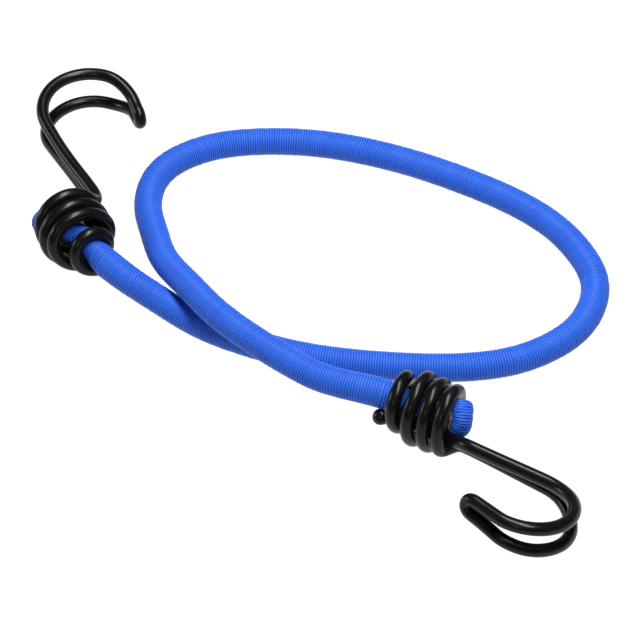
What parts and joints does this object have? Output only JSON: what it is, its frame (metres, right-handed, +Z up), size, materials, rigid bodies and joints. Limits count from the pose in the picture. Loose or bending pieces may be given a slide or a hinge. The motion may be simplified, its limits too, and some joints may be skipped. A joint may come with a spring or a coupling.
{
  "type": "bungee cord",
  "caption": "Elastic bungee cord with a woven sleeve over a rubber core and a coated twin-wire hook wound onto each folded end, laid in one loose loop.",
  "frame": {"origin": "on the surface the cord lies on, in the middle of the box round the two hooks", "axes": "+Z up from that surface, +X towards the closed end of the loop, +Y from the right hook's side to the left hook's side"},
  "size_m": [0.1618, 0.1804, 0.0218],
  "materials": {
    "black_coating": "glossy dipped coating on steel wire",
    "blue_weave": "woven sleeve with fine rings across the cord, soft sheen",
    "rubber_core": "matt natural rubber",
    "crimp_brass": "satin brass-coloured strip"
  },
  "bodies": {
    "cord": {"left_lead_sleeve": "blue_weave", "left_lead_core": "rubber_core", "main_sleeve": "blue_weave", "main_core": "rubber_core", "right_lead_sleeve": "blue_weave", "right_lead_core": "rubber_core"},
    "left_hook": {"left_hook_wire": "black_coating", "left_crimp_ring": "crimp_brass", "left_fold_sleeve": "blue_weave", "left_fold_core": "rubber_core"},
    "right_hook": {"right_hook_wire": "black_coating", "right_crimp_ring": "crimp_brass", "right_fold_sleeve": "blue_weave", "right_fold_core": "rubber_core"}
  },
  "joints": [
    {"name": "left_hook_lift", "type": "hinge", "parent": "cord", "child": "left_hook", "pos_m": [-0.0359, 0.0074, 0.0042], "axis": [0.5774, 0.8165, 0], "range_deg": [0, 90], "stiffness_Nm_per_rad": 0.01, "deforming": ["left_lead_sleeve", "left_lead_core"]},
    {"name": "right_hook_lift", "type": "hinge", "parent": "cord", "child": "right_hook", "pos_m": [0.0024, -0.0247, 0.0119], "axis": [-0.5731, -0.8195, 0], "range_deg": [0, 90], "stiffness_Nm_per_rad": 0.01, "deforming": ["right_lead_sleeve", "right_lead_core"]}
  ]
}
